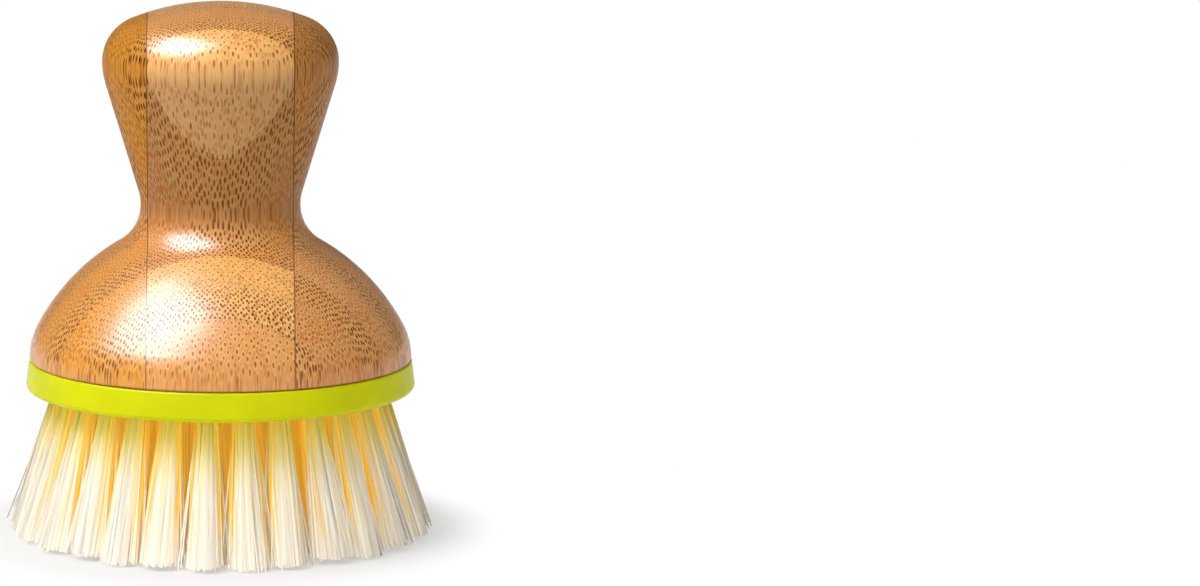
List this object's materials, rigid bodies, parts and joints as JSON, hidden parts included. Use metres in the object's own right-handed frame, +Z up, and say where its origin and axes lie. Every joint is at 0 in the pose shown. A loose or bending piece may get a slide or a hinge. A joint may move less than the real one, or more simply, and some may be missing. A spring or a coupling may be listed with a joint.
{
  "type": "palm brush",
  "caption": "Round palm scrubbing brush with a turned laminated bamboo knob handle, a lime plastic bristle plate and splayed cream bristle tufts trimmed level.",
  "frame": {"origin": "middle of the level bristle tips, where the brush stands on a surface", "axes": "+Z up the handle, the side that the picture shows faces -Y, +X to its right"},
  "size_m": [0.0708, 0.0708, 0.0887],
  "materials": {
    "bamboo": "oiled, fine upright fibres",
    "lime_plastic": "satin moulded",
    "bristle": "translucent cream filament",
    "anchor_wire": "drawn flat wire",
    "screw_steel": "plain steel"
  },
  "bodies": {
    "root": {"handle_left_board": "bamboo", "handle_centre_board": "bamboo", "handle_right_board": "bamboo", "bristle_plate": "lime_plastic", "inner_tufts": "bristle", "second_tufts": "bristle", "third_tufts": "bristle", "outer_tufts": "bristle", "inner_anchors": "anchor_wire", "second_anchors": "anchor_wire", "third_anchors": "anchor_wire", "outer_anchors": "anchor_wire", "plate_screw": "screw_steel"}
  },
  "joints": []
}
